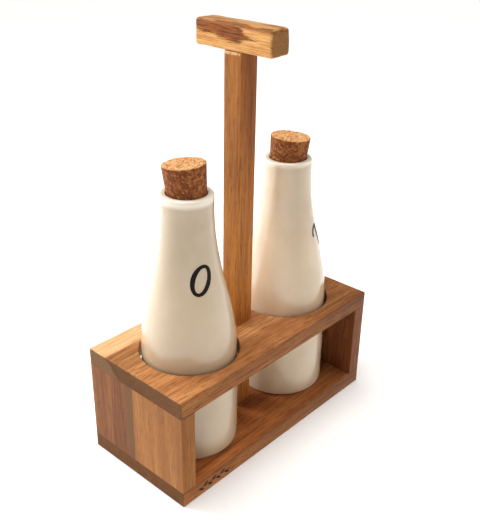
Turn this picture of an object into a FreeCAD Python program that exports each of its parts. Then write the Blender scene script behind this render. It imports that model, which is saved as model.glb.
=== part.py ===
"""Cruet set: two stoneware oil and vinegar bottles with cork stoppers, in a wooden carrier.

The carrier is a base board, two end panels and a top board with a hole for each bottle. A square
post stands on the base, passes through the top board and carries a cross handle.

Frame: +X along the carrier to its right end, +Z up, and -Y towards the open front. The origin is
the centre of the underside of the base board. Sizes are in millimetres.
"""

import FreeCAD, Part
import math
import os

# Carrier
LENGTH = 200.0
DEPTH = 92.0
CARRIER_HEIGHT = 84.5
BOARD = 12.0
EASE = 0.8  # rounding of the carrier's outer arrises
SEAM_Y = 2.0  # glue seam between the two staves of an end panel

# Bottle holes in the top board, sawn by hand and so not quite symmetrical: centres (x, y)
LEFT_HOLE = (-50.2, -1.8)
RIGHT_HOLE = (52.0, -0.3)
HOLE_RADIUS = 35.0
HOLE_EASE = 0.8

# Post and handle
POST = 15.0
HANDLE_LOW = 279.5
HANDLE_HIGH = 296.5
HANDLE_WIDTH = 16.8
HANDLE_SPAN = 65.0
HANDLE_EASE = 2.0
POST_EASE = 0.6

# Bottles, heights counted from the foot; cast and fired by hand, they differ a little in height
LEFT_BOTTLE_HEIGHT = 187.5
RIGHT_BOTTLE_HEIGHT = 185.5
WALL = 3.9
FLOOR_THICKNESS = 5.0
FOOT_ROUND = 2.2
FOOT_RECESS = 1.2
FOOT_RING_INNER = 28.0
FOOT_BEVEL = 1.0
MOUTH_RADIUS = 13.5
MOUTH_ROUND = 0.7
LIP_RADIUS = 17.6
LIP_ROUND = 1.8
# outline of the glazed body up to the neck: (height, outer radius)
OUTLINE = (
    (FOOT_ROUND, 34.0),
    (38.0, 34.0),
    (66.0, 33.3),
    (89.0, 32.2),
    (111.0, 28.0),
    (133.0, 22.7),
    (155.0, 18.9),
    (173.0, 17.55),
)
INNER_START = 2  # first outline point that the inside follows
INNER_CORNER = 6.0

# How each bottle happens to stand in its hole: shift from the hole's centre
LEFT_BOTTLE_SHIFT = (-0.65, -0.4)
RIGHT_BOTTLE_SHIFT = (-0.7, -0.35)

# Cork stopper, measured along its own axis
CORK_TOP_RADIUS = 14.3
CORK_LENGTH = 30.0
CORK_TAPER_DEG = 4.0
CORK_CHAMFER = 0.6
# how each cork sits: (length above the mouth, lean, heading of the lean from +X towards +Y)
LEFT_CORK_SEAT = (18.7, 5.6, 104.0)
RIGHT_CORK_SEAT = (15.4, 4.6, 328.0)

# Hidden fasteners
DOWEL_RADIUS = 3.0
DOWEL_LENGTH = 20.0
DOWEL_IN_TOP = 8.0
DOWEL_Y = 28.0
HANDLE_DOWEL_RADIUS = 4.0
HANDLE_DOWEL_LENGTH = 24.0
HANDLE_DOWEL_IN_BAR = 10.0
DOWEL_CHAMFER = 0.6
GLUE_GAP = 0.05
DOWEL_END_GAP = 1.0
SCREW_LENGTH = 35.0
SCREW_RADIUS = 2.0
SCREW_HEAD_RADIUS = 4.0
SCREW_HEAD_HEIGHT = 2.4
SCREW_POINT = 5.0
SCREW_SUNK = 0.5
SCREW_Y = 26.0
CROSS_WIDTH = 1.0
CROSS_SPAN = 4.4
CROSS_DEPTH = 1.6
OVERCUT = 1.0  # how far a cutting tool starts outside the face that it cuts

HALF_LENGTH = LENGTH / 2.0
HALF_DEPTH = DEPTH / 2.0
PANEL_TOP = CARRIER_HEIGHT - BOARD
PANEL_X = HALF_LENGTH - BOARD / 2.0
UP = FreeCAD.Vector(0, 0, 1)


def point(x, y, z):
    return FreeCAD.Vector(x, y, z)


def block(low, high):
    size = [high[i] - low[i] for i in range(3)]
    return Part.makeBox(size[0], size[1], size[2], point(*low))


def eased(shape, radius, wanted):
    """Rounds the edges whose middle point passes the test wanted(x, y, z)."""
    chosen = []
    for edge in shape.Edges:
        middle = edge.valueAt((edge.FirstParameter + edge.LastParameter) / 2.0)
        if wanted(middle.x, middle.y, middle.z):
            chosen.append(edge)
    return shape.makeFillet(radius, chosen)


def near(a, b):
    return abs(a - b) < 0.01


def on_corner(x, y):
    """True on the carrier's four outer vertical corners."""
    return near(abs(x), HALF_LENGTH) and near(abs(y), HALF_DEPTH)


def on_rim(x, y):
    """True on the carrier's outer side faces."""
    return near(abs(x), HALF_LENGTH) or near(abs(y), HALF_DEPTH)


def screw_places():
    places = [(0.0, 0.0)]
    for x in (-PANEL_X, PANEL_X):
        for y in (-SCREW_Y, SCREW_Y):
            places.append((x, y))
    return places


def dowel_places():
    return [(x, y) for x in (-PANEL_X, PANEL_X) for y in (-DOWEL_Y, DOWEL_Y)]


def screw_body(gap):
    """A countersunk wood screw standing point up on the origin, or its hole where gap is above 0."""
    shank = SCREW_RADIUS + gap
    head = SCREW_HEAD_RADIUS + gap
    corners = [
        point(0, 0, 0),
        point(head, 0, 0),
        point(shank, 0, SCREW_HEAD_HEIGHT),
        point(shank, 0, SCREW_LENGTH - SCREW_POINT),
        point(0, 0, SCREW_LENGTH + gap),
        point(0, 0, 0),
    ]
    face = Part.Face(Part.makePolygon(corners))
    return face.revolve(point(0, 0, 0), UP, 360)


def screw_hole(x, y):
    """The hole for one screw, with the counterbore that sinks its head below the underside."""
    hole = screw_body(GLUE_GAP)
    depth = SCREW_SUNK + OVERCUT
    sink = Part.makeCylinder(SCREW_HEAD_RADIUS + GLUE_GAP, depth, point(0, 0, -depth))
    hole = hole.fuse(sink)
    hole.translate(point(x, y, SCREW_SUNK))
    return hole


def screw(x, y):
    body = screw_body(0.0)
    half = CROSS_SPAN / 2.0
    slot = CROSS_WIDTH / 2.0
    along_x = block((-half, -slot, -OVERCUT), (half, slot, CROSS_DEPTH))
    along_y = block((-slot, -half, -OVERCUT), (slot, half, CROSS_DEPTH))
    body = body.cut(along_x).cut(along_y)
    body.translate(point(x, y, SCREW_SUNK))
    return body


def dowel(radius, length, x, y, z):
    body = Part.makeCylinder(radius, length, point(x, y, z))
    ends = [edge for edge in body.Edges if isinstance(edge.Curve, Part.Circle)]
    return body.makeChamfer(DOWEL_CHAMFER, ends)


def dowel_hole(radius, x, y, low, high):
    return Part.makeCylinder(radius + GLUE_GAP, high - low, point(x, y, low))


def base_board():
    board = block((-HALF_LENGTH, -HALF_DEPTH, 0), (HALF_LENGTH, HALF_DEPTH, BOARD))
    board = eased(board, EASE, lambda x, y, z: on_corner(x, y) or (near(z, 0) and on_rim(x, y)))
    for x, y in screw_places():
        board = board.cut(screw_hole(x, y))
    return board


def top_board():
    low = PANEL_TOP
    high = CARRIER_HEIGHT
    board = block((-HALF_LENGTH, -HALF_DEPTH, low), (HALF_LENGTH, HALF_DEPTH, high))
    board = eased(board, EASE, lambda x, y, z: on_corner(x, y) or (near(z, high) and on_rim(x, y)))
    for hole in (LEFT_HOLE, RIGHT_HOLE):
        board = board.cut(Part.makeCylinder(HOLE_RADIUS, BOARD, point(*hole, low)))
        board = eased(
            board,
            HOLE_EASE,
            lambda x, y, z: near(z, high) and near(math.hypot(x - hole[0], y - hole[1]), HOLE_RADIUS),
        )
    half = POST / 2.0
    board = board.cut(block((-half, -half, low), (half, half, high)))
    for x, y in dowel_places():
        board = board.cut(dowel_hole(DOWEL_RADIUS, x, y, low, low + DOWEL_IN_TOP + DOWEL_END_GAP))
    return board


def end_stave(side, y_low, y_high):
    """One of the two upright-grained staves of an end panel; side is -1 for left and 1 for right."""
    inner = side * (HALF_LENGTH - BOARD)
    outer = side * HALF_LENGTH
    stave = block((min(inner, outer), y_low, BOARD), (max(inner, outer), y_high, PANEL_TOP))
    stave = eased(stave, EASE, lambda x, y, z: on_corner(x, y))
    for x, y in screw_places():
        if x * side > 0 and y_low < y < y_high:
            stave = stave.cut(screw_hole(x, y))
    dowel_low = PANEL_TOP - (DOWEL_LENGTH - DOWEL_IN_TOP)
    for x, y in dowel_places():
        if x * side > 0 and y_low < y < y_high:
            stave = stave.cut(dowel_hole(DOWEL_RADIUS, x, y, dowel_low, PANEL_TOP))
    return stave


def centre_post():
    half = POST / 2.0
    post = block((-half, -half, BOARD), (half, half, HANDLE_LOW))
    post = eased(post, POST_EASE, lambda x, y, z: near(abs(x), half) and near(abs(y), half))
    post = post.cut(screw_hole(0.0, 0.0))
    dowel_low = HANDLE_LOW - (HANDLE_DOWEL_LENGTH - HANDLE_DOWEL_IN_BAR)
    return post.cut(dowel_hole(HANDLE_DOWEL_RADIUS, 0.0, 0.0, dowel_low, HANDLE_LOW))


def handle_bar():
    half_width = HANDLE_WIDTH / 2.0
    half_span = HANDLE_SPAN / 2.0
    bar = block((-half_width, -half_span, HANDLE_LOW), (half_width, half_span, HANDLE_HIGH))
    bar = bar.makeFillet(HANDLE_EASE, bar.Edges)
    hole_top = HANDLE_LOW + HANDLE_DOWEL_IN_BAR + DOWEL_END_GAP
    return bar.cut(dowel_hole(HANDLE_DOWEL_RADIUS, 0.0, 0.0, HANDLE_LOW, hole_top))


def base_screws():
    return Part.makeCompound([screw(x, y) for x, y in screw_places()])


def top_dowels():
    low = PANEL_TOP - (DOWEL_LENGTH - DOWEL_IN_TOP)
    return Part.makeCompound([dowel(DOWEL_RADIUS, DOWEL_LENGTH, x, y, low) for x, y in dowel_places()])


def handle_dowel():
    low = HANDLE_LOW - (HANDLE_DOWEL_LENGTH - HANDLE_DOWEL_IN_BAR)
    return dowel(HANDLE_DOWEL_RADIUS, HANDLE_DOWEL_LENGTH, 0.0, 0.0, low)


def smooth_edge(points):
    curve = Part.BSplineCurve()
    curve.interpolate([point(radius, 0, level) for level, radius in points])
    return curve.toShape()


def quarter(outer, inner, middle, radius):
    """A quarter-circle arc between two points about the middle point."""
    halfway = (outer + inner) * 0.5 - middle
    return Part.Arc(outer, middle + halfway * (radius / halfway.Length), inner).toShape()


def bottle(x, y, height):
    """A hollow cast body: outer outline, eased lip, bore, rounded inner floor and foot ring."""
    foot_radius = OUTLINE[0][1]
    outer = smooth_edge(OUTLINE + ((height - LIP_ROUND, LIP_RADIUS),))
    lip_flat = LIP_RADIUS - LIP_ROUND
    mouth_flat = MOUTH_RADIUS + MOUTH_ROUND
    lip = [
        quarter(
            point(LIP_RADIUS, 0, height - LIP_ROUND),
            point(lip_flat, 0, height),
            point(lip_flat, 0, height - LIP_ROUND),
            LIP_ROUND,
        ),
        Part.LineSegment(point(lip_flat, 0, height), point(mouth_flat, 0, height)).toShape(),
        quarter(
            point(mouth_flat, 0, height),
            point(MOUTH_RADIUS, 0, height - MOUTH_ROUND),
            point(mouth_flat, 0, height - MOUTH_ROUND),
            MOUTH_ROUND,
        ),
    ]
    inside = [(level, radius - WALL) for level, radius in OUTLINE[INNER_START:]]
    inside.append((height - MOUTH_ROUND, MOUTH_RADIUS))
    inner = smooth_edge(inside)
    wall_foot = point(inside[0][1], 0, FLOOR_THICKNESS + INNER_CORNER)
    wall_top = point(inside[0][1], 0, inside[0][0])
    side = Part.LineSegment(wall_foot, wall_top).toShape()
    corner = quarter(
        wall_foot,
        point(inside[0][1] - INNER_CORNER, 0, FLOOR_THICKNESS),
        point(inside[0][1] - INNER_CORNER, 0, FLOOR_THICKNESS + INNER_CORNER),
        INNER_CORNER,
    )
    below = [
        point(inside[0][1] - INNER_CORNER, 0, FLOOR_THICKNESS),
        point(0, 0, FLOOR_THICKNESS),
        point(0, 0, FOOT_RECESS),
        point(FOOT_RING_INNER - FOOT_BEVEL, 0, FOOT_RECESS),
        point(FOOT_RING_INNER, 0, 0),
        point(foot_radius - FOOT_ROUND, 0, 0),
    ]
    base = [Part.LineSegment(a, b).toShape() for a, b in zip(below[:-1], below[1:])]
    foot = quarter(
        point(foot_radius - FOOT_ROUND, 0, 0),
        point(foot_radius, 0, FOOT_ROUND),
        point(foot_radius - FOOT_ROUND, 0, FOOT_ROUND),
        FOOT_ROUND,
    )
    wire = Part.Wire(Part.__sortEdges__([outer, inner, side, corner, foot] + lip + base))
    body = Part.Face(wire).revolve(point(0, 0, 0), UP, 360)
    body.translate(point(x, y, BOARD))
    return body


def stopper(x, y, bottle_height, seat):
    """A tapered cork. It leans about the middle of the bottle's mouth."""
    shown, lean, heading = seat
    sunk = CORK_LENGTH - shown
    low_radius = CORK_TOP_RADIUS - CORK_LENGTH * math.tan(math.radians(CORK_TAPER_DEG))
    cork = Part.makeCone(low_radius, CORK_TOP_RADIUS, CORK_LENGTH, point(0, 0, -sunk))
    ends = [edge for edge in cork.Edges if isinstance(edge.Curve, Part.Circle)]
    cork = cork.makeChamfer(CORK_CHAMFER, ends)
    across = math.radians(heading + 90.0)
    cork.rotate(point(0, 0, 0), point(math.cos(across), math.sin(across), 0), lean)
    cork.translate(point(x, y, BOARD + bottle_height))
    return cork


def main():
    left = (LEFT_HOLE[0] + LEFT_BOTTLE_SHIFT[0], LEFT_HOLE[1] + LEFT_BOTTLE_SHIFT[1])
    right = (RIGHT_HOLE[0] + RIGHT_BOTTLE_SHIFT[0], RIGHT_HOLE[1] + RIGHT_BOTTLE_SHIFT[1])
    nodes = {
        "base_board": base_board(),
        "top_board": top_board(),
        "left_end_front_stave": end_stave(-1, -HALF_DEPTH, SEAM_Y),
        "left_end_back_stave": end_stave(-1, SEAM_Y, HALF_DEPTH),
        "right_end_front_stave": end_stave(1, -HALF_DEPTH, SEAM_Y),
        "right_end_back_stave": end_stave(1, SEAM_Y, HALF_DEPTH),
        "centre_post": centre_post(),
        "handle_bar": handle_bar(),
        "handle_dowel": handle_dowel(),
        "top_dowels": top_dowels(),
        "base_screws": base_screws(),
        "left_bottle": bottle(*left, LEFT_BOTTLE_HEIGHT),
        "right_bottle": bottle(*right, RIGHT_BOTTLE_HEIGHT),
        "left_stopper": stopper(*left, LEFT_BOTTLE_HEIGHT, LEFT_CORK_SEAT),
        "right_stopper": stopper(*right, RIGHT_BOTTLE_HEIGHT, RIGHT_CORK_SEAT),
    }
    os.makedirs("parts", exist_ok=True)
    for name, shape in nodes.items():
        if not shape.isValid():
            raise ValueError(name + " is not a valid solid")
        print(name, "volume", round(shape.Volume / 1000.0, 2), "cm3")
        shape.exportStep("parts/" + name + ".step")


main()
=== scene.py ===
"""Looks of the cruet set: oiled wood, cream glaze, agglomerated cork, soft studio light.

Every length is in millimetres, apart from the lamps' distances and sizes, which are in metres.
Meshes are built in the frame's own coordinates and scaled to metres when they become pieces.
"""
import math

import bmesh
import bpy
from mathutils import Matrix, Vector, noise


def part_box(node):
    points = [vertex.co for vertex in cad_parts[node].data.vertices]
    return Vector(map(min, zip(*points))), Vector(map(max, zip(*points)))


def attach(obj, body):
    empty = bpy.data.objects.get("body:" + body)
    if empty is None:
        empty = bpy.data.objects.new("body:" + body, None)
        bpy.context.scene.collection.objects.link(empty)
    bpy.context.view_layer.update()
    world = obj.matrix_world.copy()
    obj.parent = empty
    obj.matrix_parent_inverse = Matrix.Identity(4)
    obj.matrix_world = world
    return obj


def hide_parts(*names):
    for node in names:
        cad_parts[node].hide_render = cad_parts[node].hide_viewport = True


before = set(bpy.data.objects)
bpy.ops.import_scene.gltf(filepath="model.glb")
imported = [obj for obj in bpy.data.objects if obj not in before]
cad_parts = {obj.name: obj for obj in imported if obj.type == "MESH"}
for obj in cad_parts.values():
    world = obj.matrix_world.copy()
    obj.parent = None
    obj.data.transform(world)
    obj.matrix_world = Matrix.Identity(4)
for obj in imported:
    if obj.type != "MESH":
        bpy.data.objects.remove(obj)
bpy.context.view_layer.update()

MM = 0.001

# Camera
CAMERA_AIM = (4.9, 2.2, 130.1)
CAMERA_DISTANCE = 543.9
CAMERA_HEADING_DEG = 47.87
CAMERA_PITCH_DEG = 26.77
CAMERA_ROLL_DEG = 1.0
LENS_MM = 52.4

# Studio
LAMP_AIM_HEIGHT = 120.0
FLOOR_RADIUS = 4000.0

# Bottle outline up to the neck: (height over the foot, radius)
BOTTLE_OUTLINE = (
    (2.2, 34.0),
    (38.0, 34.0),
    (66.0, 33.3),
    (89.0, 32.2),
    (111.0, 28.0),
    (133.0, 22.7),
    (155.0, 18.9),
    (173.0, 17.55),
)
LIP_RADIUS = 17.6
BOTTLE_WALL = 3.9
BOTTLE_FLOOR = 5.0
LIP_ROUND = 1.8
MOUTH_RADIUS = 13.52
MOUTH_ROUND = 0.7
INNER_START = 2  # first outline point that the inside follows; straight down from there
INNER_CORNER = 6.0
BORE_START = 170.0  # above it the neck is never wider inside than the mouth
FOOT_ROUND = 2.2
FOOT_RECESS = 1.2
FOOT_RING_INNER = 28.0
FOOT_RING_BEVEL = 1.0
FOOT_RING_FLAT = 2.0
BOTTLE_STEPS = 144

# Corks
CORK_TOP_RADIUS = 14.25
CORK_LENGTH = 30.0
CORK_SHOWN = {"left": 18.7, "right": 15.4}
CORK_TAPER_DEG = 4.0
CORK_EASE = 0.5
CORK_STEPS = 150
GRANULE = 1.5

# Wood
HOLES = ((-50.2, -1.8), (52.0, -0.3))
HOLE_RADIUS = 35.0
HOLE_EASE = 0.8
BOARD_EASE = 0.8
SEAM_EASE = 0.12
MORTISE_EASE = 0.15
UNDER_EASE = 0.5
HANDLE_EASE = 2.2
POST_EASE = 0.6

# Lettering: where each mark's middle is, and how far its skin is let in and stands proud
RING_LETTER = {"heading_deg": -111.5, "level": 147.2}
WEDGE_LETTER = {"heading_deg": -53.5, "level": 139.5}
LETTER_SUNK = 0.05
LETTER_PROUD = 0.06


def corners_mm(node):
    """A CAD node's lowest and highest corners at rest, in millimetres."""
    low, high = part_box(node)
    return low / MM, high / MM


# ---------------------------------------------------------------- node trees


def soft_step(tree, low, high, to_low, to_high):
    """A map range node that goes smoothly from to_low at low to to_high at high."""
    made = tree.nodes.new("ShaderNodeMapRange")
    made.interpolation_type = "SMOOTHSTEP"
    made.inputs["From Min"].default_value = low
    made.inputs["From Max"].default_value = high
    made.inputs["To Min"].default_value = to_low
    made.inputs["To Max"].default_value = to_high
    return made


class Shader:
    """A material being built, with short calls for the nodes that it uses."""

    def __init__(self, name):
        self.material = bpy.data.materials.new(name)
        self.material.use_nodes = True
        self.tree = self.material.node_tree
        self.surface = self.tree.nodes["Principled BSDF"]

    def put(self, socket, value):
        """Links an output to the socket, or sets a plain value on it."""
        if isinstance(value, bpy.types.NodeSocket):
            self.tree.links.new(value, socket)
        else:
            socket.default_value = value

    def place(self, shift=(0.0, 0.0, 0.0), turn=(0.0, 0.0, 0.0)):
        """Object coordinates in millimetres, moved by minus shift and then turned, in degrees."""
        source = self.tree.nodes.new("ShaderNodeTexCoord")
        first = self.tree.nodes.new("ShaderNodeMapping")
        first.inputs["Scale"].default_value = (1 / MM, 1 / MM, 1 / MM)
        first.inputs["Location"].default_value = [-s for s in shift]
        self.put(first.inputs["Vector"], source.outputs["Object"])
        second = self.tree.nodes.new("ShaderNodeMapping")
        second.inputs["Rotation"].default_value = [math.radians(t) for t in turn]
        self.put(second.inputs["Vector"], first.outputs["Vector"])
        return second.outputs["Vector"]

    def facing(self):
        """The surface's direction in the object's own axes, as x, y and z."""
        return self.split(self.tree.nodes.new("ShaderNodeTexCoord").outputs["Normal"])

    def noise(self, vector, scale, detail=3.0, roughness=0.5, distortion=0.0):
        """Soft noise between 0 and 1, scale features to the millimetre."""
        made = self.tree.nodes.new("ShaderNodeTexNoise")
        self.put(made.inputs["Vector"], vector)
        made.inputs["Scale"].default_value = scale
        made.inputs["Detail"].default_value = detail
        made.inputs["Roughness"].default_value = roughness
        made.inputs["Distortion"].default_value = distortion
        return made.outputs["Fac"]

    def voronoi(self, vector, scale, output="Distance", feature="F1"):
        """Cells, scale of them to the millimetre."""
        made = self.tree.nodes.new("ShaderNodeTexVoronoi")
        made.feature = feature
        self.put(made.inputs["Vector"], vector)
        made.inputs["Scale"].default_value = scale
        return made.outputs[output]

    def split(self, vector):
        """A vector's x, y and z."""
        made = self.tree.nodes.new("ShaderNodeSeparateXYZ")
        self.put(made.inputs[0], vector)
        return made.outputs[0], made.outputs[1], made.outputs[2]

    def join(self, x, y, z):
        """A vector from its x, y and z."""
        made = self.tree.nodes.new("ShaderNodeCombineXYZ")
        for socket, value in zip(made.inputs, (x, y, z)):
            self.put(socket, value)
        return made.outputs[0]

    def math(self, operation, *values):
        """One sum on plain numbers or outputs."""
        made = self.tree.nodes.new("ShaderNodeMath")
        made.operation = operation
        for socket, value in zip(made.inputs, values):
            self.put(socket, value)
        return made.outputs[0]

    def times(self, first, second):
        return self.math("MULTIPLY", first, second)

    def plus(self, first, second):
        return self.math("ADD", first, second)

    def minus(self, first, second):
        return self.math("SUBTRACT", first, second)

    def swing(self, value, size):
        """Noise between 0 and 1 as a swing about nothing, size from end to end."""
        return self.times(self.minus(value, 0.5), size)

    def step(self, value, low, high, to_low=0.0, to_high=1.0):
        """A soft step: to_low below low, to_high above high."""
        made = soft_step(self.tree, low, high, to_low, to_high)
        self.put(made.inputs["Value"], value)
        return made.outputs["Result"]

    def mix(self, factor, first, second, blend="MIX"):
        """The first colour going over to the second, or blended with it, as factor rises to 1."""
        made = self.tree.nodes.new("ShaderNodeMix")
        made.data_type = "RGBA"
        made.blend_type = blend
        self.put(made.inputs[0], factor)
        self.put(made.inputs[6], first)
        self.put(made.inputs[7], second)
        return made.outputs[2]

    def ramp(self, value, *stops):
        """A colour ramp with (position, colour) stops."""
        made = self.tree.nodes.new("ShaderNodeValToRGB")
        points = made.color_ramp.elements
        while len(points) < len(stops):
            points.new(0.5)
        for element, (position, colour) in zip(points, stops):
            element.position = position
            element.color = colour
        self.put(made.inputs[0], value)
        return made.outputs[0]

    def bump(self, height, strength, distance_mm):
        """The surface's direction, tilted by a relief distance_mm deep."""
        made = self.tree.nodes.new("ShaderNodeBump")
        made.inputs["Strength"].default_value = strength
        made.inputs["Distance"].default_value = distance_mm * MM
        self.put(made.inputs["Height"], height)
        return made.outputs["Normal"]

    def finish(self, **values):
        """Sets the surface's own sockets by name, with underscores for spaces."""
        for name, value in values.items():
            self.put(self.surface.inputs[name.replace("_", " ")], value)
        return self.material


def colour(red, green, blue):
    """An sRGB colour, 0 to 255, as the linear colour that a shader takes."""
    linear = []
    for channel in (red, green, blue):
        share = channel / 255.0
        linear.append(share / 12.92 if share <= 0.04045 else ((share + 0.055) / 1.055) ** 2.4)
    return (*linear, 1.0)


# ---------------------------------------------------------------- wood

GRAIN_TURN = {"X": (0.0, 90.0, 0.0), "Y": (90.0, 0.0, 0.0), "Z": (0.0, 0.0, 0.0)}


def wood(name, grain, light, middle, dark, streak, **look):
    """Oiled acacia. The figure is solid, so end grain and long grain follow from one pattern.

    grain is the axis that the fibres run along; light, middle and dark are the plain figure and
    streak the colour of the dark bands. look gives heart (a point on the axis of the growth
    rings), and may give rings (mm between growth rings), streaks and vessels (0 to 1), rough,
    end and end_dark (the colour of a cut end, and how far it takes over), flank (a tint painted
    on the side that faces the front: painted shade, and painted light where the tint is above 1),
    node (the board whose arrises show wear), and patch, a function that repaints the colour for
    one piece, on some pieces with painted light and shade.
    """
    s = Shader(name)
    place = s.place(shift=look["heart"], turn=GRAIN_TURN[grain])
    across_u, across_v, along = s.split(place)

    def drawn_out(share):
        """The place with only a share of its run along the grain, so that figure is drawn out."""
        return s.join(across_u, across_v, s.times(along, share))

    # growth rings about the heart, wandering slowly along the grain
    wander = s.swing(s.noise(drawn_out(0.12), 0.045, 3.0, 0.55), 26.0)
    squares = [s.times(across, across) for across in (across_u, across_v)]
    radius = s.math("SQRT", s.plus(*squares))
    ring = s.math("FRACT", s.math("DIVIDE", s.plus(radius, wander), look.get("rings", 4.2)))
    late = s.times(s.step(ring, 0.35, 0.92), s.step(ring, 0.92, 1.0, 1.0, 0.0))

    # broad bands of colour, then fibres, then short dark vessels and open pores
    bands = s.noise(drawn_out(0.05), 0.075, 3.0, 0.6, 0.6)
    fibre = s.noise(drawn_out(0.03), 1.5, 4.0, 0.65)
    fine = s.noise(drawn_out(0.02), 5.0, 2.0, 0.5)
    vessel = s.noise(drawn_out(0.075), 1.15, 2.0, 0.55)
    vein = s.noise(drawn_out(0.035), 0.33, 4.0, 0.62, 0.8)
    pore_cells = s.voronoi(drawn_out(0.09), 1.25)
    pore = s.times(s.step(pore_cells, 0.10, 0.22, 1.0, 0.0), s.step(fibre, 0.40, 0.62))

    base = s.ramp(bands, (0.32, dark), (0.50, middle), (0.66, light))
    base = s.mix(s.times(late, 0.38), base, dark)
    base = s.mix(s.step(fibre, 0.40, 0.58, 0.45, 0.0), base, dark)
    base = s.mix(s.step(fine, 0.48, 0.66, 0.0, 0.34), base, light)
    base = s.mix(s.step(vessel, 0.55, 0.66, 0.0, look.get("vessels", 0.55)), base, streak)
    base = s.mix(s.step(vein, 0.53, 0.68, 0.0, look.get("streaks", 0.6)), base, streak)
    if "patch" in look:
        base = look["patch"](s, base, fibre)
    base = s.mix(s.times(pore, 0.6), base, colour(62, 32, 14))

    # cut ends drink more oil, so they are darker and duller
    facing = s.facing()
    # painted shade on the side that faces the front, from the flank tint; where the tint is above 1 it
    # is painted light
    if "flank" in look:
        base = s.mix(s.step(facing[1], -0.9, -0.6, 1.0, 0.0), base, look["flank"], "MULTIPLY")
    cut_end = s.step(s.math("ABSOLUTE", facing["XYZ".index(grain)]), 0.6, 0.9)
    end_share = s.times(cut_end, look.get("end_dark", 0.55))
    base = s.mix(end_share, base, look.get("end", colour(104, 68, 38)))
    edge_wear_and_highlight = 0.0
    if "node" in look:
        edge_wear_and_highlight = arris(s, look["node"])
        base = s.mix(s.times(edge_wear_and_highlight, 0.45), base, colour(96, 58, 32))

    rough = s.step(cut_end, 0.0, 1.0, look.get("rough", 0.44), 0.62)
    rough = s.plus(rough, s.step(fibre, 0.3, 0.7, 0.10, 0.0))
    rough = s.plus(rough, s.times(pore, 0.2))
    rough = s.minus(rough, s.times(edge_wear_and_highlight, 0.10))
    relief = s.minus(s.times(fibre, 0.35), s.times(pore, 0.6))
    relief = s.minus(relief, s.times(late, 0.12))
    relief = s.minus(relief, s.step(vessel, 0.55, 0.66, 0.0, 0.25))
    return s.finish(
        Base_Color=base,
        Roughness=rough,
        Normal=s.bump(relief, 0.55, 0.14),
        Specular_IOR_Level=0.15,
    )


def arris(s, node):
    """1 near the arrises of a node's box, where handling has darkened the oil."""
    low, high = corners_mm(node)
    inset = []
    for value, a, b in zip(s.split(s.place()), low, high):
        inset.append(s.math("MINIMUM", s.minus(value, a), s.minus(b, value)))
    nearest = s.math("MINIMUM", inset[0], inset[1])
    other = s.math("MAXIMUM", inset[0], inset[1])
    second = s.math("MAXIMUM", nearest, s.math("MINIMUM", other, inset[2]))
    chafe = s.noise(s.place(), 0.35, 4.0, 0.6)
    second = s.minus(second, s.swing(chafe, 2.4))
    return s.step(second, 0.1, 0.9, 1.0, 0.0)


def sapwood_and_falloff_shade(s, base, fibre):
    """Pale sapwood along the top board's back edge, reaching further in on the underside.

    The left end is darker just in front of the sapwood, and the whole board darkens to the right, as
    painted shade where the light falls off.
    """
    x, y, z = s.split(s.place())
    drift = s.noise(s.join(s.times(x, 0.25), y, z), 0.06, 3.0, 0.6)
    depth = s.times(s.minus(85.0, z), 1.4)
    edge = s.plus(s.plus(y, depth), s.swing(drift, 16.0))
    pale = s.mix(s.step(fibre, 0.35, 0.65), colour(206, 152, 98), colour(240, 205, 158))
    base = s.mix(s.step(edge, 29.0, 33.0, 0.0, 0.85), base, pale)
    corner = s.times(s.step(x, -84.0, -58.0, 1.0, 0.0), s.step(edge, -4.0, 14.0))
    corner = s.times(corner, s.step(edge, 27.0, 31.0, 1.0, 0.0))
    base = s.mix(corner, base, (0.70, 0.70, 0.70, 1.0), "MULTIPLY")
    # painted shade: the board darkens to the right, where the light falls off
    falloff_shade = s.plus(x, s.swing(drift, 60.0))
    return s.mix(s.step(falloff_shade, 10.0, 95.0), base, (0.62, 0.58, 0.56, 1.0), "MULTIPLY")


def handle_figure_and_top_light(s, base, fibre):
    """The handle's figure: honey-coloured, with a red-brown flame that sinks and dies out along it, kept
    mostly off the top face as painted light.
    """
    x, y, z = s.split(s.place())
    top = corners_mm("handle_bar")[1].z
    ragged = s.noise(s.join(x, s.times(y, 0.07), z), 1.1, 4.0, 0.65)

    # the flame follows a line that sinks along y, and narrows to nothing
    slow = s.join(s.times(x, 0.5), s.times(y, 0.16), z)
    drift = s.swing(s.noise(slow, 0.11, 3.0, 0.55, 0.5), 9.0)
    middle = s.plus(s.times(y, 0.11), top - 5.6)
    off = s.math("ABSOLUTE", s.plus(s.minus(z, middle), drift))
    off = s.plus(off, s.swing(ragged, 8.0))
    reach = s.step(y, -24.0, 6.0, -1.0, 4.4)
    flame = s.step(s.minus(reach, off), -0.8, 0.8)
    # painted light: the flame is mostly left off the top face, so that face shows the paler honey colour
    flame = s.times(flame, s.step(s.facing()[2], 0.5, 0.8, 1.0, 0.15))

    # broken dark bands run along the upper arrises
    crown = s.noise(s.join(s.times(x, 0.6), s.times(y, 0.1), z), 0.35, 3.0, 0.6)
    rim = s.plus(z, s.swing(ragged, 5.0))
    rim = s.times(s.step(rim, top - 3.1, top - 1.7), s.step(crown, 0.46, 0.56))
    flame = s.math("MAXIMUM", flame, s.times(rim, 0.8))

    honey = s.mix(s.step(fibre, 0.38, 0.62), colour(190, 127, 63), colour(229, 181, 114))
    plain = s.mix(0.75, base, honey)
    plain = s.mix(s.step(ragged, 0.56, 0.68, 0.0, 0.55), plain, colour(150, 84, 40))
    heart = s.mix(s.step(ragged, 0.36, 0.60), colour(76, 32, 11), colour(146, 78, 27))
    return s.mix(s.times(flame, 0.95), plain, heart)


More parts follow.
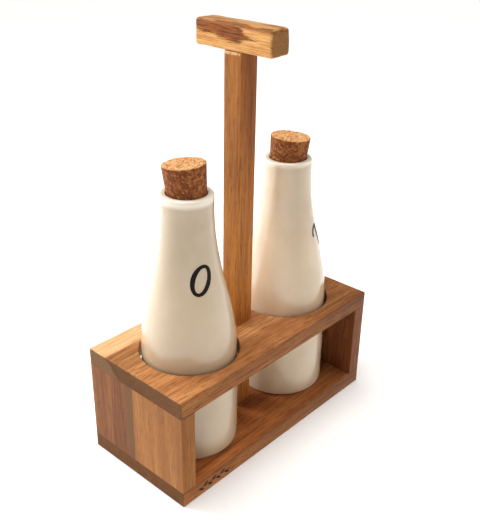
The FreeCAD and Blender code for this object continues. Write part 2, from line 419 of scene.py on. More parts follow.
def post_painted_light_and_shade(s, base, fibre):
    """Painted light and shade: the post's front and left sides darken towards the top; a pale highlight
    is under the handle.
    """
    z = s.split(s.place())[2]
    x_way, y_way = s.facing()[:2]
    # painted shade on the front side, darker towards the top, and painted light low down
    front = s.step(y_way, -0.9, -0.6, 1.0, 0.0)
    shade = s.mix(s.step(z, 170.0, 280.0), (1.22, 1.20, 1.10, 1.0), (0.70, 0.63, 0.52, 1.0))
    base = s.mix(front, base, shade, "MULTIPLY")
    # painted light low on the left side, and painted shade higher up
    left_side = s.step(x_way, -0.9, -0.6, 1.0, 0.0)
    shade = s.mix(s.step(z, 135.0, 205.0), (1.22, 1.30, 1.14, 1.0), (0.84, 0.82, 0.75, 1.0))
    base = s.mix(left_side, base, shade, "MULTIPLY")
    top = corners_mm("centre_post")[1].z
    # painted highlight: a pale line along the left side's top edge, under the handle
    edge_wear_and_highlight = s.times(left_side, s.step(z, top - 2.4, top - 1.6))
    edge_wear_and_highlight = s.times(edge_wear_and_highlight, s.step(s.noise(s.place(), 0.5, 3.0), 0.4, 0.5))
    return s.mix(s.times(edge_wear_and_highlight, 0.75), base, colour(232, 186, 136))


def seam_shade(s, base, fibre):
    """A grey-brown band in a back stave along its glue seam."""
    x, y, z = s.split(s.place())
    drift = s.noise(s.join(x, y, s.times(z, 0.15)), 0.12, 3.0, 0.6)
    y = s.plus(y, s.swing(drift, 9.0))
    return s.mix(s.step(y, 7.0, 13.0, 0.5, 0.0), base, colour(118, 88, 54))


def base_light_shade_and_sprig(s, base, fibre):
    """The base board darkens to the right, as painted shade (painted light at its left end), and has a
    small generic sprig burnt into its front.
    """
    x, y, _ = s.split(s.place())
    # painted light at the left end and painted shade towards the right
    shade = s.mix(s.step(x, -80.0, 80.0), (1.16, 1.24, 1.3, 1.0), (0.74, 0.78, 0.86, 1.0))
    base = s.mix(1.0, base, shade, "MULTIPLY")
    face = corners_mm("base_board")[0].y
    burnt = s.times(sprig(s), s.step(y, face + 0.2, face + 0.6, 1.0, 0.0))
    return s.mix(burnt, base, colour(26, 13, 7))


def sprig(s):
    """1 on a thin stem with leaves that lean to either side by turns, seen from the front."""
    stem_half = 15.5
    leaf_half_length = 2.5
    leaf_half_width = 0.85
    leaf_rise = 1.35
    x, _, z = s.split(s.place(shift=(-70.5, 0.0, 6.0)))
    beside = s.step(s.math("ABSOLUTE", x), stem_half, stem_half + 0.5, 1.0, 0.0)
    mark = s.times(beside, s.step(s.math("ABSOLUTE", z), 0.22, 0.36, 1.0, 0.0))
    for index in range(7):
        side = 1.0 if index % 2 else -1.0
        lean = math.radians(28.0) * side
        u = s.minus(x, -12.5 + 4.1 * index)
        v = s.minus(z, leaf_rise * side)
        cos, sin = math.cos(lean), math.sin(lean)
        along = s.plus(s.times(u, cos), s.times(v, sin))
        over = s.minus(s.times(v, cos), s.times(u, sin))
        squares = []
        for offset, half in ((along, leaf_half_length), (over, leaf_half_width)):
            share = s.math("ABSOLUTE", s.math("DIVIDE", offset, half))
            squares.append(s.math("POWER", share, 2.0))
        mark = s.math("MAXIMUM", mark, s.step(s.plus(*squares), 0.8, 1.15, 1.0, 0.0))
    return mark


WOODS = {
    "base": wood(
        "acacia_base", "X",
        colour(216, 142, 80), colour(192, 115, 60), colour(146, 82, 40), colour(98, 50, 24),
        heart=(0.0, 40.0, -50.0), streaks=0.5, patch=base_light_shade_and_sprig, end=colour(82, 54, 26), end_dark=0.85,
        node="base_board", flank=(0.77, 0.83, 0.79, 1.0),
    ),
    "top": wood(
        "acacia_top", "X",
        colour(212, 156, 99), colour(187, 127, 76), colour(147, 89, 50), colour(108, 58, 30),
        heart=(0.0, 25.0, 150.0), streaks=0.65, vessels=0.65, patch=sapwood_and_falloff_shade,
        end=colour(86, 56, 28), end_dark=0.85, node="top_board", flank=(0.72, 0.63, 0.45, 1.0),
    ),
    "light": wood(
        "acacia_light_stave", "Z",
        colour(191, 132, 73), colour(171, 114, 60), colour(140, 89, 44), colour(128, 75, 37),
        heart=(-160.0, -60.0, 0.0), streaks=0.3, flank=(0.98, 0.92, 0.78, 1.0),
    ),
    "dark": wood(
        "acacia_dark_stave", "Z",
        colour(150, 96, 52), colour(131, 78, 41), colour(105, 60, 29), colour(95, 49, 24),
        heart=(-120.0, 60.0, 0.0), streaks=0.6, rings=3.4, patch=seam_shade,
    ),
    "deep": wood(
        "acacia_deep_stave", "Z",
        colour(158, 98, 56), colour(132, 76, 40), colour(98, 52, 26), colour(78, 38, 20),
        heart=(-90.0, 30.0, 0.0), streaks=0.55, rings=3.0, flank=(1.05, 1.08, 1.12, 1.0),
    ),
    "post": wood(
        "acacia_post", "Z",
        colour(188, 124, 60), colour(166, 103, 46), colour(134, 77, 35), colour(112, 60, 28),
        heart=(-70.0, 60.0, 0.0), streaks=0.7, rings=3.2, patch=post_painted_light_and_shade,
    ),
    "handle": wood(
        "acacia_handle", "Y",
        colour(228, 170, 104), colour(200, 136, 74), colour(160, 96, 50), colour(116, 52, 26),
        heart=(30.0, 0.0, 250.0), streaks=0.5, patch=handle_figure_and_top_light, rough=0.34, end_dark=0.7,
        end=colour(98, 58, 28), node="handle_bar",
    ),
    "dowel": wood(
        "beech_dowel", "Z",
        colour(226, 190, 146), colour(210, 170, 124), colour(186, 142, 98), colour(170, 124, 84),
        heart=(30.0, 20.0, 0.0), streaks=0.15,
    ),
}


# ---------------------------------------------------------------- other materials


def glaze():
    """Cream glaze over a bare clay foot ring.

    Its lip is paler, as a painted highlight, and its neck darker, as painted shade. The left
    bottle is a little darker all over, as painted shade, and the right one's left flank is paler, as
    painted light.
    """
    s = Shader("cream_glaze")
    place = s.place()
    across, _, height = s.split(place)
    rim = corners_mm("right_bottle")[1].z
    foot = corners_mm("base_board")[1].z
    right_one = s.step(across, -8.0, 8.0)
    cloud = s.noise(place, 0.035, 3.0, 0.5)
    body = s.mix(s.step(cloud, 0.35, 0.65), colour(213, 192, 162), colour(220, 200, 172))
    speck = s.voronoi(place, 0.21)
    chosen = s.noise(place, 0.5, 1.0)
    freckle = s.times(s.step(speck, 0.02, 0.05, 1.0, 0.0), s.step(chosen, 0.52, 0.60))
    body = s.mix(s.times(freckle, 0.35), body, colour(170, 138, 98))
    # painted shade on the neck
    body = s.mix(s.step(height, rim - 75.0, rim - 30.0), body, (0.83, 0.82, 0.80, 1.0), "MULTIPLY")
    # painted shade: the left bottle is a little darker all over
    left_one = s.step(across, -8.0, 8.0, 1.0, 0.0)
    body = s.mix(left_one, body, (0.89, 0.88, 0.865, 1.0), "MULTIPLY")
    # painted light on the right bottle's left flank, above its lower body
    painted_light_flank = s.times(s.step(s.facing()[0], -0.9, -0.4, 1.0, 0.0), right_one)
    painted_light_flank = s.times(painted_light_flank, s.step(height, rim - 135.0, rim - 110.0))
    body = s.mix(painted_light_flank, body, (1.28, 1.30, 1.34, 1.0), "MULTIPLY")
    # painted highlight on the lip
    body = s.mix(s.step(height, rim - 4.5, rim - 0.5, 0.0, 0.9), body, colour(246, 238, 222))
    bare = s.step(height, foot + 0.7, foot + 1.3, 1.0, 0.0)
    clay = s.mix(s.noise(place, 1.6, 4.0), colour(196, 170, 136), colour(222, 200, 168))
    ripple = s.plus(s.noise(place, 0.09, 2.0), s.times(s.noise(place, 0.9, 2.0), 0.07))
    grit = s.times(s.noise(place, 3.2, 3.0), bare)
    relief = s.plus(ripple, s.times(grit, 0.5))
    rough = s.plus(s.step(cloud, 0.3, 0.7, 0.20, 0.27), s.times(bare, 0.55))
    return s.finish(
        Base_Color=s.mix(bare, body, clay),
        Roughness=rough,
        Normal=s.bump(relief, 0.25, 0.5),
        Subsurface_Weight=0.12,
        Subsurface_Scale=2.0 * MM,
        Specular_IOR_Level=0.5,
        Coat_Weight=0.8,
        Coat_Roughness=0.14,
    )


def cork(name, centre, seed):
    """Pressed cork granules: a pale sawn top, a darker side, and a stain below the bottle's mouth.

    seed moves the figure, so that no two corks have the same one.
    """
    s = Shader(name)
    place = s.place(shift=[c + seed for c in centre])
    sway = s.tree.nodes.new("ShaderNodeTexNoise")
    s.put(sway.inputs["Vector"], place)
    sway.inputs["Scale"].default_value = 0.5
    warped = s.mix(0.25, place, sway.outputs["Color"], "ADD")
    tone, hue, _ = s.split(s.voronoi(warped, 1.0 / GRANULE, "Color"))
    border = s.voronoi(warped, 1.0 / GRANULE, "Distance", "DISTANCE_TO_EDGE")
    small = s.noise(place, 1.1, 4.0, 0.6)
    top_tones = ((0.0, colour(192, 118, 62)), (0.3, colour(232, 168, 106)), (1.0, colour(250, 206, 148)))
    side_tones = ((0.0, colour(112, 60, 28)), (0.5, colour(150, 88, 46)), (1.0, colour(188, 122, 66)))
    top = s.ramp(tone, *top_tones)
    side = s.ramp(tone, *side_tones)
    side = s.mix(s.step(hue, 0.7, 1.0, 0.0, 0.5), side, colour(150, 74, 48))
    skin = s.mix(s.step(s.facing()[2], 0.45, 0.8), side, top)
    skin = s.mix(s.step(small, 0.4, 0.7, 0.0, 0.35), skin, colour(112, 62, 32))
    skin = s.mix(s.step(border, 0.02, 0.10, 0.42, 0.0), skin, colour(78, 38, 18))
    pits = s.times(s.step(small, 0.62, 0.72), s.step(tone, 0.55, 0.6, 1.0, 0.0))
    skin = s.mix(s.times(pits, 0.8), skin, colour(46, 22, 10))
    mouth = corners_mm("left_bottle")[1].z
    stain = s.step(s.split(s.place())[2], mouth - 8.0, mouth - 1.0, 0.35, 0.0)
    skin = s.mix(stain, skin, colour(150, 100, 60))
    relief = s.plus(s.step(border, 0.0, 0.16), s.times(small, 0.8))
    relief = s.minus(relief, pits)
    return s.finish(
        Base_Color=skin,
        Roughness=s.step(small, 0.3, 0.7, 0.78, 0.92),
        Normal=s.bump(relief, 0.7, 0.35),
        Specular_IOR_Level=0.25,
    )


def ink():
    """Fired black lettering under the glaze's gloss."""
    s = Shader("fired_black")
    place = s.place()
    patchy = s.noise(place, 2.4, 3.0)
    return s.finish(
        Base_Color=s.mix(s.step(patchy, 0.4, 0.7), colour(16, 11, 8), colour(32, 24, 18)),
        Roughness=s.step(patchy, 0.3, 0.7, 0.40, 0.52),
        Specular_IOR_Level=0.14,
    )


def zinc():
    """Zinc-plated steel with turning marks."""
    s = Shader("zinc_steel")
    place = s.place()
    marks = s.noise(place, 6.0, 3.0)
    return s.finish(
        Base_Color=s.mix(marks, colour(176, 172, 160), colour(214, 208, 190)),
        Metallic=1.0,
        Roughness=s.step(marks, 0.3, 0.7, 0.28, 0.46),
        Normal=s.bump(marks, 0.3, 0.05),
    )


# ---------------------------------------------------------------- making pieces


def show(name, data):
    """Puts an object with this mesh, lamp or camera into the scene."""
    obj = bpy.data.objects.new(name, data)
    bpy.context.scene.collection.objects.link(obj)
    return obj


def piece(name, mesh, material, body, slot, *nodes):
    """Shows a mesh built in millimetres as a piece that rides on a body and stands for CAD nodes."""
    mesh.transform(Matrix.Scale(MM, 4))
    obj = show(name, mesh)
    mesh.materials.append(material)
    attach(obj, body)
    if nodes:
        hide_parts(*nodes)
    return obj


def mesh_of(bm, name, sharp_deg=None):
    """A smooth-shaded mesh; edges that turn by more than sharp_deg stay crisp."""
    bmesh.ops.recalc_face_normals(bm, faces=bm.faces)
    mesh = bpy.data.meshes.new(name)
    bm.to_mesh(mesh)
    bm.free()
    mesh.shade_smooth()
    if sharp_deg is not None:
        mesh.set_sharp_from_angle(angle=math.radians(sharp_deg))
    return mesh


def near(a, b):
    """True of two coordinates that are the same but for rounding."""
    return abs(a - b) < 0.05


def round_arrises(obj, width):
    """Rounds the weighted edges, by up to width, and keeps the flat faces flat."""
    bevel = obj.modifiers.new("arris", "BEVEL")
    bevel.limit_method = "WEIGHT"
    bevel.width = width * MM
    bevel.segments = 3
    flat = obj.modifiers.new("flat", "WEIGHTED_NORMAL")
    flat.keep_sharp = True


def weigh_edges(bm, weight_of):
    """Gives each edge the bevel weight that weight_of(middle, edge) says."""
    layer = bm.edges.layers.float.new("bevel_weight_edge")
    for edge in bm.edges:
        middle = (edge.verts[0].co + edge.verts[1].co) / 2.0
        edge[layer] = weight_of(middle, edge)


def square_edge(edge):
    """True of an arris, and not of the joins between facets of a flat or curved face."""
    return len(edge.link_faces) == 2 and edge.calc_face_angle(0.0) > math.radians(60)


def board(node, material, slot, seams):
    """A plain board. seams(middle) is true on the arrises that meet a neighbour."""
    low, high = corners_mm(node)
    bm = bmesh.new()
    bmesh.ops.create_cube(bm, size=1.0)
    for vert in bm.verts:
        for axis in range(3):
            vert.co[axis] = low[axis] if vert.co[axis] < 0 else high[axis]
    weigh_edges(bm, lambda middle, edge: SEAM_EASE / BOARD_EASE if seams(middle) else 1.0)
    obj = piece(node + "_wood", mesh_of(bm, node + "_wood"), material, "carrier", slot, node)
    round_arrises(obj, BOARD_EASE)


def base_board():
    """The base board, crisp where the end panels stand on it."""
    low, high = corners_mm("base_board")

    def seams(middle):
        return near(middle.z, high.z) and not near(middle.y, low.y)

    board("base_board", WOODS["base"], "base_wood", seams)


def end_panels():
    """Two glued staves to each end: pale in front and brown behind on the left, deeper on the right."""
    base_low, base_high = corners_mm("base_board")
    panel_top = corners_mm("top_board")[0].z
    for side in ("left", "right"):
        for part, tone, outer_y in (("front", "light", base_low.y), ("back", "dark", base_high.y)):

            def seams(middle, outer_y=outer_y):
                at_board = near(middle.z, base_high.z) or near(middle.z, panel_top)
                return at_board or not near(middle.y, outer_y)

            figure = WOODS[tone if side == "left" else "deep"]
            board(side + "_end_" + part + "_stave", figure, tone + "_stave", seams)


def plate_cells(xs, ys, skip):
    """Grid cells between the lines xs and ys, as corner tuples, without those that skip names."""
    cells = []
    for x0, x1 in zip(xs[:-1], xs[1:]):
        for y0, y1 in zip(ys[:-1], ys[1:]):
            if not skip((x0 + x1) / 2.0, (y0 + y1) / 2.0):
                cells.append(((x0, y0), (x1, y0), (x1, y1), (x0, y1)))
    return cells


def ring_cells(x0, x1, centre, radius, ys):
    """Cells between a round hole and the rectangle around it, meeting the side lines at ys."""
    y0, y1 = ys[0], ys[-1]
    steps = 24
    xs = [x0 + (x1 - x0) * i / steps for i in range(steps + 1)]
    loop = [(x, y0) for x in xs[:-1]] + [(x1, y) for y in ys[:-1]]
    loop += [(x, y1) for x in reversed(xs[1:])] + [(x0, y) for y in reversed(ys[1:])]
    inner = []
    for x, y in loop:
        angle = math.atan2(y - centre[1], x - centre[0])
        inner.append((centre[0] + radius * math.cos(angle), centre[1] + radius * math.sin(angle)))
    cells = []
    for i in range(len(loop)):
        j = (i + 1) % len(loop)
        cells.append((loop[i], loop[j], inner[j], inner[i]))
    return cells


def top_board():
    """The top board: a sheet of cells around two holes and the post's mortise, raised to its top."""
    low, high = corners_mm("top_board")
    post = corners_mm("centre_post")[1].x
    zone = 13.0  # half-width of the stretch between the two hole zones
    rows = 12  # of cells from the post to either long edge
    ys = [low.y + (-post - low.y) * i / rows for i in range(rows)]
    ys += [-post, -post / 3.0, post / 3.0]
    ys += [post + (high.y - post) * i / rows for i in range(rows + 1)]
    cells = plate_cells((-zone, -post, post, zone), ys, lambda x, y: abs(x) < post and abs(y) < post)
    cells += ring_cells(low.x, -zone, HOLES[0], HOLE_RADIUS, ys)
    cells += ring_cells(zone, high.x, HOLES[1], HOLE_RADIUS, ys)
    bm = bmesh.new()
    for cell in cells:
        bm.faces.new([bm.verts.new((x, y, low.z)) for x, y in cell])
    bmesh.ops.remove_doubles(bm, verts=bm.verts, dist=0.001)
    sheet = bmesh.ops.extrude_face_region(bm, geom=bm.faces[:])
    lifted = [item for item in sheet["geom"] if isinstance(item, bmesh.types.BMVert)]
    bmesh.ops.translate(bm, verts=lifted, vec=(0, 0, high.z - low.z))
    bmesh.ops.recalc_face_normals(bm, faces=bm.faces)

    def weight(middle, edge):
        if not square_edge(edge):
            return 0.0
        if abs(middle.x) < zone and abs(middle.y) < post + 1.0:
            return MORTISE_EASE
        on_end = near(abs(middle.x), high.x)
        if near(middle.z, low.z) and (on_end or near(abs(middle.y), high.y)):
            return SEAM_EASE if on_end else UNDER_EASE
        hole = HOLES[0] if middle.x < 0 else HOLES[1]
        in_hole = math.hypot(middle.x - hole[0], middle.y - hole[1]) < HOLE_RADIUS + 1.0
        return HOLE_EASE if in_hole else BOARD_EASE

    weigh_edges(bm, weight)
    mesh = mesh_of(bm, "top_board_wood", 40)
    obj = piece("top_board_wood", mesh, WOODS["top"], "carrier", "top_wood", "top_board")
    round_arrises(obj, 1.0)  # its weights are already millimetres


def rounded_bar(node, material, slot, radius, cell, wander):
    """A hand-sanded bar: a dense box with rounded arrises, dished by up to wander."""
    low, high = corners_mm(node)
    inner_low = low + Vector((radius, radius, radius))
    inner_high = high - Vector((radius, radius, radius))
    corner = [radius * (1.0 - math.tan(math.radians(turn))) for turn in (45.0, 30.0, 15.0)]
    lines = []
    for axis in range(3):
        span = inner_high[axis] - inner_low[axis]
        count = max(2, round(span / cell))
        middle = [inner_low[axis] + span * i / count for i in range(count + 1)]
        before = [low[axis] + c for c in corner]
        after = [high[axis] - c for c in reversed(corner)]
        lines.append(before + middle + after)
    bm = bmesh.new()
    found = {}

    def vert(index):
        if index not in found:
            found[index] = bm.verts.new([lines[a][index[a]] for a in range(3)])
        return found[index]

    for axis in range(3):
        u, v = [a for a in range(3) if a != axis]
        for end in (0, len(lines[axis]) - 1):
            for i in range(len(lines[u]) - 1):
                for j in range(len(lines[v]) - 1):
                    corners = []
                    for du, dv in ((0, 0), (1, 0), (1, 1), (0, 1)):
                        index = [0, 0, 0]
                        index[axis] = end
                        index[u] = i + du
                        index[v] = j + dv
                        corners.append(vert(tuple(index)))
                    bm.faces.new(corners)
    for v in bm.verts:
        core = Vector([min(max(v.co[a], inner_low[a]), inner_high[a]) for a in range(3)])
        away = v.co - core
        if away.length > 1e-6:
            v.co = core + away.normalized() * radius
            on_arris = sum(1 for a in range(3) if abs(away[a]) > 1e-6) > 1
            dent = max(0.0, noise.noise(v.co * 0.09)) * wander * (2.2 if on_arris else 1.0)
            v.co -= away.normalized() * dent
    piece(node + "_wood", mesh_of(bm, node + "_wood"), material, "carrier", slot, node)


def smooth_outline(points):
    """Points on the smooth curve through (height, radius) points, about 2 mm apart in height."""
    slopes = []
    for i in range(len(points)):
        a = points[max(i - 1, 0)]
        b = points[min(i + 1, len(points) - 1)]
        slopes.append((b[1] - a[1]) / (b[0] - a[0]))
    slopes[0] = 0.0
    slopes[-1] = 0.0
    found = []
    for (h0, r0), (h1, r1), m0, m1 in zip(points[:-1], points[1:], slopes[:-1], slopes[1:]):
        span = h1 - h0
        count = max(2, round(span / 2.0))
        for i in range(count):
            t = i / count
            value = (2 * t**3 - 3 * t**2 + 1) * r0 + (t**3 - 2 * t**2 + t) * span * m0
            value += (3 * t**2 - 2 * t**3) * r1 + (t**3 - t**2) * span * m1
            found.append((h0 + span * t, value))
    found.append(points[-1])
    return found


def bottle_outside(total):
    """(height, radius) up the outside of a bottle of that total height, to where its lip curls in."""
    return smooth_outline(BOTTLE_OUTLINE + ((total - LIP_ROUND, LIP_RADIUS),))


def curl(centre, radius, start_deg, end_deg, count):
    """(radius, height) points along an arc about centre, without its first point."""
    found = []
    for i in range(1, count + 1):
        turn = math.radians(start_deg + (end_deg - start_deg) * i / count)
        found.append((centre[0] + radius * math.cos(turn), centre[1] + radius * math.sin(turn)))
    return found


def bottle_profile(outside):
    """(radius, height) from the middle of the foot, up the outside, over the lip, down the inside."""
    recess_edge = FOOT_RING_INNER - FOOT_RING_BEVEL
    profile = [(0.0, FOOT_RECESS), (FOOT_RING_INNER * 0.5, FOOT_RECESS), (recess_edge, FOOT_RECESS)]
    profile += [(FOOT_RING_INNER, 0.0), (FOOT_RING_INNER + FOOT_RING_FLAT, 0.0)]
    foot = BOTTLE_OUTLINE[0][1] - FOOT_ROUND
    profile.append((foot, 0.0))
    profile += curl((foot, FOOT_ROUND), FOOT_ROUND, -90.0, 0.0, 6)[:-1]
    profile += [(radius, height) for height, radius in outside]
    top = outside[-1][0] + LIP_ROUND
    profile += curl((LIP_RADIUS - LIP_ROUND, top - LIP_ROUND), LIP_ROUND, 0.0, 90.0, 7)
    mouth = MOUTH_RADIUS + MOUTH_ROUND
    profile.append((mouth, top))
    profile += curl((mouth, top - MOUTH_ROUND), MOUTH_ROUND, 90.0, 180.0, 4)
    inner_start, shoulder = BOTTLE_OUTLINE[INNER_START]
    for height, radius in reversed(outside):
        if inner_start < height < top - 4.0:
            inner = radius - BOTTLE_WALL
            profile.append((min(inner, MOUTH_RADIUS) if height > BORE_START else inner, height))
    inside = shoulder - BOTTLE_WALL
    corner = BOTTLE_FLOOR + INNER_CORNER
    profile += [(inside, inner_start), (inside, BOTTLE_OUTLINE[1][0]), (inside, corner)]
    profile += curl((inside - INNER_CORNER, corner), INNER_CORNER, 0.0, -90.0, 6)
    profile += [(inside * 0.5, BOTTLE_FLOOR), (0.0, BOTTLE_FLOOR)]
    return profile


def lathe(profile, around, shape=lambda angle, radius, height: radius):
    """Turns a profile of (radius, height), which starts and ends on the axis, into a closed skin.

    shape(angle, radius, height) says the radius that the skin has there.
    """
    bm = bmesh.new()
    rings = []
    for radius, height in profile:
        if radius == 0.0:
            rings.append([bm.verts.new((0, 0, height))])
            continue
        ring = []
        for i in range(around):
            angle = 2 * math.pi * i / around
            r = shape(angle, radius, height)
            ring.append(bm.verts.new((r * math.cos(angle), r * math.sin(angle), height)))
        rings.append(ring)
    for a, b in zip(rings[:-1], rings[1:]):
        for i in range(around):
            j = (i + 1) % around
            corners = (a[i % len(a)], a[j % len(a)], b[j % len(b)], b[i % len(b)])
            bm.faces.new(list(dict.fromkeys(corners)))
    return bm


def foot_of(node):
    """The middle of a turned piece's foot, from its box."""
    low, high = corners_mm(node)
    return Vector(((low.x + high.x) / 2.0, (low.y + high.y) / 2.0, low.z))


def bottles():
    """Two cast bottles, open at the mouth and hollow down to the floor."""
    skin = glaze()
    for side in ("left", "right"):
        node = side + "_bottle"
        foot = foot_of(node)

        def thrown(angle, radius, height, seed=foot.x):
            """A fired body is never quite round: a few hundredths of a millimetre of wander."""
            wave = noise.noise(Vector((math.cos(angle), math.sin(angle), height * 0.012 + seed)))
            return radius - 0.06 * (1.0 + wave)

        total = corners_mm(node)[1].z - foot.z
        bm = lathe(bottle_profile(bottle_outside(total)), BOTTLE_STEPS, thrown)
        bmesh.ops.translate(bm, verts=bm.verts, vec=foot)
        piece(node + "_glazed", mesh_of(bm, node + "_glazed"), skin, node, "glaze", node)


def radius_at(level):
    """The outer radius of a bottle's body at a height over its foot."""
    outside = smooth_outline(BOTTLE_OUTLINE)
    for (h0, r0), (h1, r1) in zip(outside[:-1], outside[1:]):
        if h0 <= level <= h1:
            return r0 + (r1 - r0) * (level - h0) / (h1 - h0)
    return outside[-1][1]


class Mark:
    """A mark drawn on a bottle, in (u, v) millimetres across and up from its middle."""

    def __init__(self, foot, heading_deg, level):
        self.bm = bmesh.new()
        self.foot = foot
        self.heading = math.radians(heading_deg)
        self.level = level

    def spot(self, u, v, lift):
        """The point at (u, v), lift above the bottle's skin."""
        level = self.level + v
        radius = radius_at(level) + lift
        angle = self.heading + u / radius_at(level)
        out = Vector((radius * math.cos(angle), radius * math.sin(angle), level))
        return self.foot + out

    def strip(self, edge_a, edge_b, closed):
        """A thin raised strip between two lines of (u, v) points."""
        layers = []
        for lift in (-LETTER_SUNK, LETTER_PROUD):
            rows = []
            for share in (0.0, 0.34, 0.67, 1.0):
                row = []
                for (ua, va), (ub, vb) in zip(edge_a, edge_b):
                    spot = self.spot(ua + (ub - ua) * share, va + (vb - va) * share, lift)
                    row.append(self.bm.verts.new(spot))
                rows.append(row)
            layers.append(rows)
        below, above = layers
        last = len(edge_a) if closed else len(edge_a) - 1
        for i in range(last):
            j = (i + 1) % len(edge_a)
            for rows in (below, above):
                for r in range(3):
                    self.bm.faces.new((rows[r][i], rows[r][j], rows[r + 1][j], rows[r + 1][i]))
            for r in (0, 3):
                self.bm.faces.new((below[r][i], below[r][j], above[r][j], above[r][i]))
        if not closed:
            for i in (0, len(edge_a) - 1):
                for r in range(3):
                    self.bm.faces.new((below[r][i], below[r + 1][i], above[r + 1][i], above[r][i]))

    def stroke(self, line, width):
        """A pen stroke of one width along a line of (u, v) points."""
        left = []
        right = []
        for i, (u, v) in enumerate(line):
            before = line[max(i - 1, 0)]
            after = line[min(i + 1, len(line) - 1)]
            du, dv = after[0] - before[0], after[1] - before[1]
            size = math.hypot(du, dv)
            nu, nv = -dv / size * width / 2.0, du / size * width / 2.0
            left.append((u + nu, v + nv))
            right.append((u - nu, v - nv))
        self.strip(left, right, False)


def ring_letter(mark):
    """A plain slanted oval, heavier on its flanks."""
    half_width = 7.35
    half_height = 10.1
    flank = 3.3
    crown = 2.2
    slant = 0.2
    count = 72
    ovals = []
    outer = (half_width, half_height, 0.0)
    inner = (half_width - flank, half_height - crown, -7.0)
    for rx, ry, tilt_deg in (outer, inner):
        tilt = math.radians(tilt_deg)
        oval = []
        for i in range(count):
            angle = 2 * math.pi * i / count
            u = rx * math.cos(angle)
            v = ry * math.sin(angle)
            turned_u = u * math.cos(tilt) - v * math.sin(tilt)
            turned_v = u * math.sin(tilt) + v * math.cos(tilt)
            oval.append((turned_u + slant * turned_v, turned_v))
        ovals.append(oval)
    mark.strip(*ovals, True)


def wedge_letter(mark):
    """A plain letter of two pen strokes that meet at the foot, with a hooked start."""
    start = (-4.6, 8.2)
    foot = (0.0, -9.0)
    end = (6.2, 9.0)
    count = 14

    def straight(a, b):
        across, up = b[0] - a[0], b[1] - a[1]
        return [(a[0] + across * i / count, a[1] + up * i / count) for i in range(count + 1)]

    hook = []
    for i in range(count + 1):
        turn = math.radians(200.0 * i / count)
        hook.append((start[0] - 2.7 + 2.7 * math.cos(turn), start[1] + 2.2 * math.sin(turn) - 0.5 * i))
    mark.stroke(straight(start, foot), 3.2)
    mark.stroke(straight(foot, end), 1.4)
    mark.stroke(hook, 2.1)


def letters():
    """One generic letter on each bottle, for oil and for vinegar."""
    black = ink()
    for side, draw, where in (("left", ring_letter, RING_LETTER), ("right", wedge_letter, WEDGE_LETTER)):
        node = side + "_bottle"
        foot = foot_of(node)
        mark = Mark(foot, where["heading_deg"], where["level"] - foot.z)
        draw(mark)
        name = side + "_bottle_letter"
        piece(name, mesh_of(mark.bm, name, 40), black, node, "glaze")


def granules(spot):
    """How deep a cork's surface is worn at a spot: seams between granules, and a few lost ones."""
    distances, points = noise.voronoi(spot / GRANULE)
    from_seam = distances[1] - distances[0]
    seam = max(0.0, 1.0 - from_seam / 0.16)
    depth = 0.16 * seam + 0.12 * max(0.0, noise.noise(spot * 0.9))
    if noise.cell(points[0] * 7.31) > 0.86:
        depth += 0.45 * min(1.0, from_seam / 0.3)
    return depth


def cork_profile(shown):
    """(radius, height) of a tapered cork with its middle line upright, the bottle's mouth at 0."""
    taper = math.tan(math.radians(CORK_TAPER_DEG))
    sunk = CORK_LENGTH - shown
    low_radius = CORK_TOP_RADIUS - CORK_LENGTH * taper
    profile = [(low_radius * i / 8, -sunk) for i in range(8)]
    rise = 56
    for i in range(rise + 1):
        height = -sunk + CORK_LENGTH * i / rise
        ease = CORK_EASE if i in (0, rise) else 0.0
        profile.append((CORK_TOP_RADIUS - (shown - height) * taper - ease, height))
    return profile + [((CORK_TOP_RADIUS - CORK_EASE) * i / 26, shown) for i in range(25, -1, -1)]


def stoppers():
    """Two tapered corks, each leaning as its CAD solid does."""
    for side, seed in (("left", 3.7), ("right", 11.3)):
        node = side + "_stopper"
        foot = foot_of(side + "_bottle")
        mouth = Vector((foot.x, foot.y, corners_mm(side + "_bottle")[1].z))
        bm = lathe(cork_profile(CORK_SHOWN[side]), CORK_STEPS)
        bm.normal_update()
        for v in bm.verts:
            v.co -= v.normal * granules(v.co + Vector((foot.x, 40.0, 0.0)))
        bmesh.ops.transform(bm, matrix=stopper_tilt(node), verts=bm.verts)
        bmesh.ops.translate(bm, verts=bm.verts, vec=mouth)
        skin = cork("cork_" + side, mouth, seed)
        piece(node + "_cork", mesh_of(bm, node + "_cork"), skin, node, "cork", node)


def stopper_tilt(node):
    """The lean of the CAD cork's flat top, as a rotation."""
    flat = max(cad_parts[node].data.polygons, key=lambda face: face.area * face.normal.z)
    return Vector((0, 0, 1)).rotation_difference(flat.normal).to_matrix().to_4x4()


def paint_fasteners():
    """The hidden dowels and the screws under the base keep their CAD shape."""
    for node, material in (
        ("handle_dowel", WOODS["dowel"]),
        ("top_dowels", WOODS["dowel"]),
        ("base_screws", zinc()),
    ):
        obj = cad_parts[node]
        obj.data.materials.clear()
        obj.data.materials.append(material)


# ---------------------------------------------------------------- camera, light and floor


def view_axes(heading_deg, pitch_deg, roll_deg):
    """Right, up and forward of a camera with that heading from +Y towards +X."""
    heading = math.radians(heading_deg)
    pitch = math.radians(pitch_deg)
    roll = math.radians(roll_deg)
    level_forward = Vector((math.sin(heading), math.cos(heading), 0))
    forward = level_forward * math.cos(pitch) - Vector((0, 0, math.sin(pitch)))
    level = Vector((math.cos(heading), -math.sin(heading), 0))
    upright = level.cross(forward)
    right = level * math.cos(roll) + upright * math.sin(roll)
    up = upright * math.cos(roll) - level * math.sin(roll)
    return right, up, forward


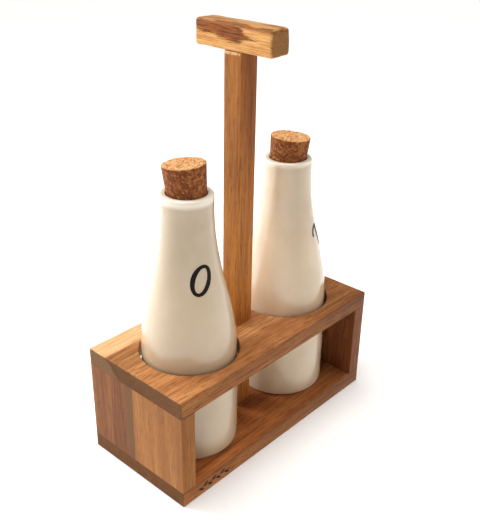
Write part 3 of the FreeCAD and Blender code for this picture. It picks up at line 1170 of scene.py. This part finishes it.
def camera():
    """A camera at the picture's viewing angle."""
    right, up, forward = view_axes(CAMERA_HEADING_DEG, CAMERA_PITCH_DEG, CAMERA_ROLL_DEG)
    data = bpy.data.cameras.new("camera")
    data.lens = LENS_MM
    data.sensor_width = 36.0
    data.sensor_fit = "AUTO"
    obj = show("camera", data)
    spot = (Vector(CAMERA_AIM) - forward * CAMERA_DISTANCE) * MM
    turn = Matrix((right, up, -forward)).transposed().to_4x4()
    obj.matrix_world = Matrix.Translation(spot) @ turn
    bpy.context.scene.camera = obj


def lamp(kind, name, heading_deg, height_deg, distance_m, strength, tint):
    """A lamp aimed at the object's middle, at a heading from +X towards +Y."""
    data = bpy.data.lights.new(name, kind)
    data.energy = strength
    data.color = tint
    heading = math.radians(heading_deg)
    rise = math.radians(height_deg)
    level_away = Vector((math.cos(heading), math.sin(heading), 0))
    away = level_away * math.cos(rise) + Vector((0, 0, math.sin(rise)))
    obj = show(name, data)
    obj.location = Vector((0, 0, LAMP_AIM_HEIGHT * MM)) + away * distance_m
    obj.rotation_euler = away.to_track_quat("Z", "Y").to_euler()
    return data


def studio():
    """An even overhead light, softboxes behind, to the left and at the front right, and a backdrop."""
    top = lamp("SUN", "top", 150.0, 84.0, 3.0, 2.9, (1.0, 0.97, 0.93))
    top.angle = math.radians(50.0)
    key = lamp("AREA", "key", 115.0, 25.0, 1.1, 10.5, (1.0, 0.98, 0.97))
    key.size = 0.45
    fill = lamp("AREA", "fill", 205.0, 32.0, 1.2, 0.5, (1.0, 0.97, 0.93))
    fill.size = 0.5
    side = lamp("AREA", "side", -40.0, 30.0, 1.2, 2.6, (1.0, 0.94, 0.86))
    side.size = 0.7
    bpy.context.scene.world = backdrop()
    bpy.context.scene.view_settings.view_transform = "Standard"


def backdrop():
    """A world that is pale near the horizon and nearly dark overhead, where the lamps do the work."""
    world = bpy.data.worlds.new("studio")
    world.use_nodes = True
    tree = world.node_tree
    direction = tree.nodes.new("ShaderNodeTexCoord").outputs["Generated"]
    parts = tree.nodes.new("ShaderNodeSeparateXYZ")
    tree.links.new(direction, parts.inputs[0])
    glow = soft_step(tree, 0.16, 0.36, 0.7, 0.05)
    tree.links.new(parts.outputs["Z"], glow.inputs["Value"])
    back = tree.nodes["Background"]
    back.inputs["Color"].default_value = (1.0, 0.985, 0.96, 1.0)
    tree.links.new(glow.outputs["Result"], back.inputs["Strength"])
    return world


def floor():
    """A pale seamless floor with a faint mottle, lit a little from within to keep it white."""
    bm = bmesh.new()
    bmesh.ops.create_circle(bm, cap_ends=True, segments=96, radius=FLOOR_RADIUS)
    mesh = mesh_of(bm, "floor")
    mesh.transform(Matrix.Scale(MM, 4))
    s = Shader("pale_floor")
    mottle = s.noise(s.place(), 0.004, 2.0)
    mesh.materials.append(
        s.finish(
            Base_Color=s.mix(mottle, colour(248, 249, 251), colour(252, 253, 254)),
            Roughness=0.8,
            Specular_IOR_Level=0.2,
            Emission_Color=(1.0, 1.0, 1.0, 1.0),
            Emission_Strength=0.07,
        )
    )
    show("floor", mesh)


camera()
studio()
floor()
base_board()
end_panels()
top_board()
rounded_bar("centre_post", WOODS["post"], "post_wood", POST_EASE, 3.0, 0.05)
rounded_bar("handle_bar", WOODS["handle"], "handle_wood", HANDLE_EASE, 1.2, 0.25)
paint_fasteners()
bottles()
letters()
stoppers()
